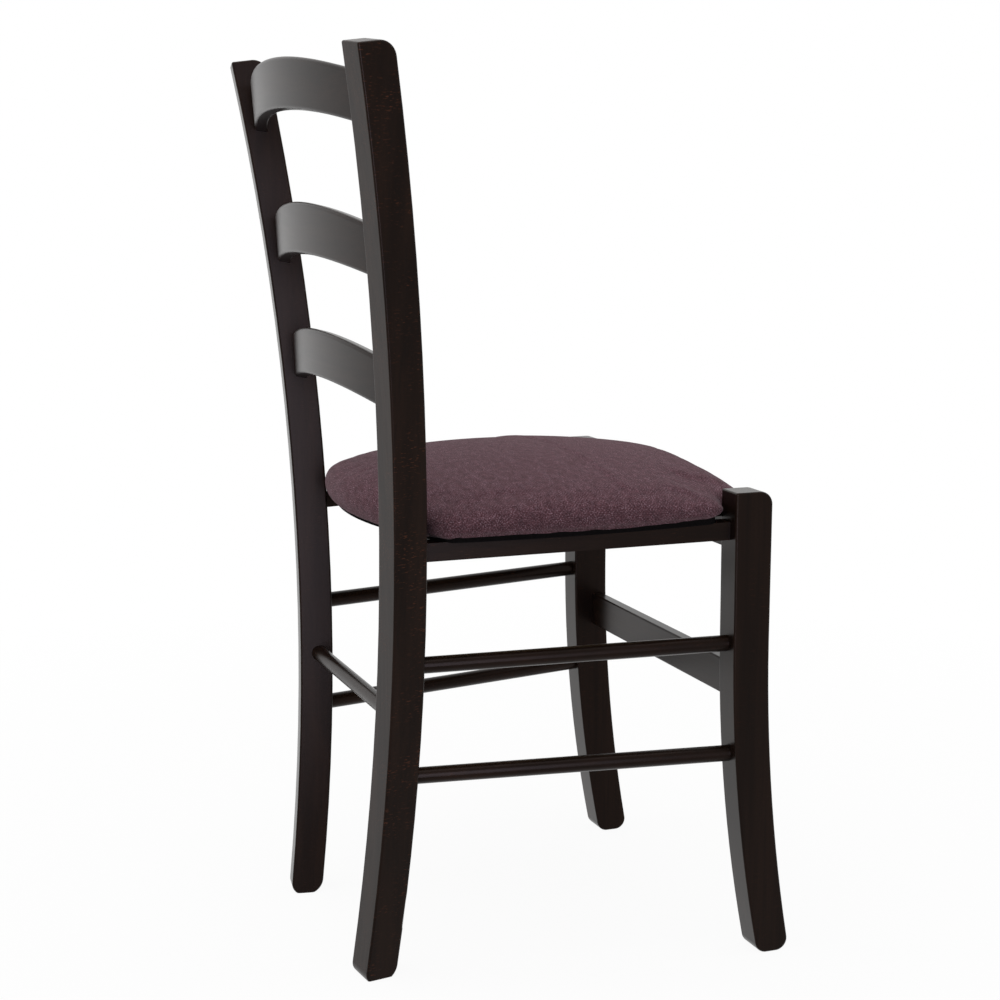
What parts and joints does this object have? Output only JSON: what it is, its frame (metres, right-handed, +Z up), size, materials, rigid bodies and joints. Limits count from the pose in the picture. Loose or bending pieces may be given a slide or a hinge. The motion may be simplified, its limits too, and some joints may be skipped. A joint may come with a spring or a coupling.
{
  "type": "upholstered dining chair",
  "caption": "Ladder-back dining chair with bowed, splayed back posts, bent arched slats, round rungs and a crowned fabric seat pad screwed to a dark stained wooden frame.",
  "frame": {"origin": "on the floor, under the middle of the chair's bounding box", "axes": "+Z up, -Y the way the sitter faces, +X to the sitter's left"},
  "size_m": [0.4674, 0.4581, 0.8823],
  "materials": {
    "stained_wood": "satin",
    "plywood": "matte",
    "seat_foam_filling": "matte",
    "plum_fabric": "matte",
    "zinc_screws": "satin"
  },
  "bodies": {
    "root": {"right_back_post": "stained_wood", "left_back_post": "stained_wood", "right_front_leg": "stained_wood", "left_front_leg": "stained_wood", "top_slat": "stained_wood", "middle_slat": "stained_wood", "lower_slat": "stained_wood", "right_seat_rail": "stained_wood", "left_seat_rail": "stained_wood", "front_seat_rail": "stained_wood", "back_seat_rail": "stained_wood", "right_upper_rung": "stained_wood", "right_lower_rung": "stained_wood", "left_upper_rung": "stained_wood", "left_lower_rung": "stained_wood", "back_rung": "stained_wood", "front_stretcher": "stained_wood", "seat_board": "plywood", "seat_foam": "seat_foam_filling", "seat_cover": "plum_fabric", "seat_screws": "zinc_screws"}
  },
  "joints": []
}
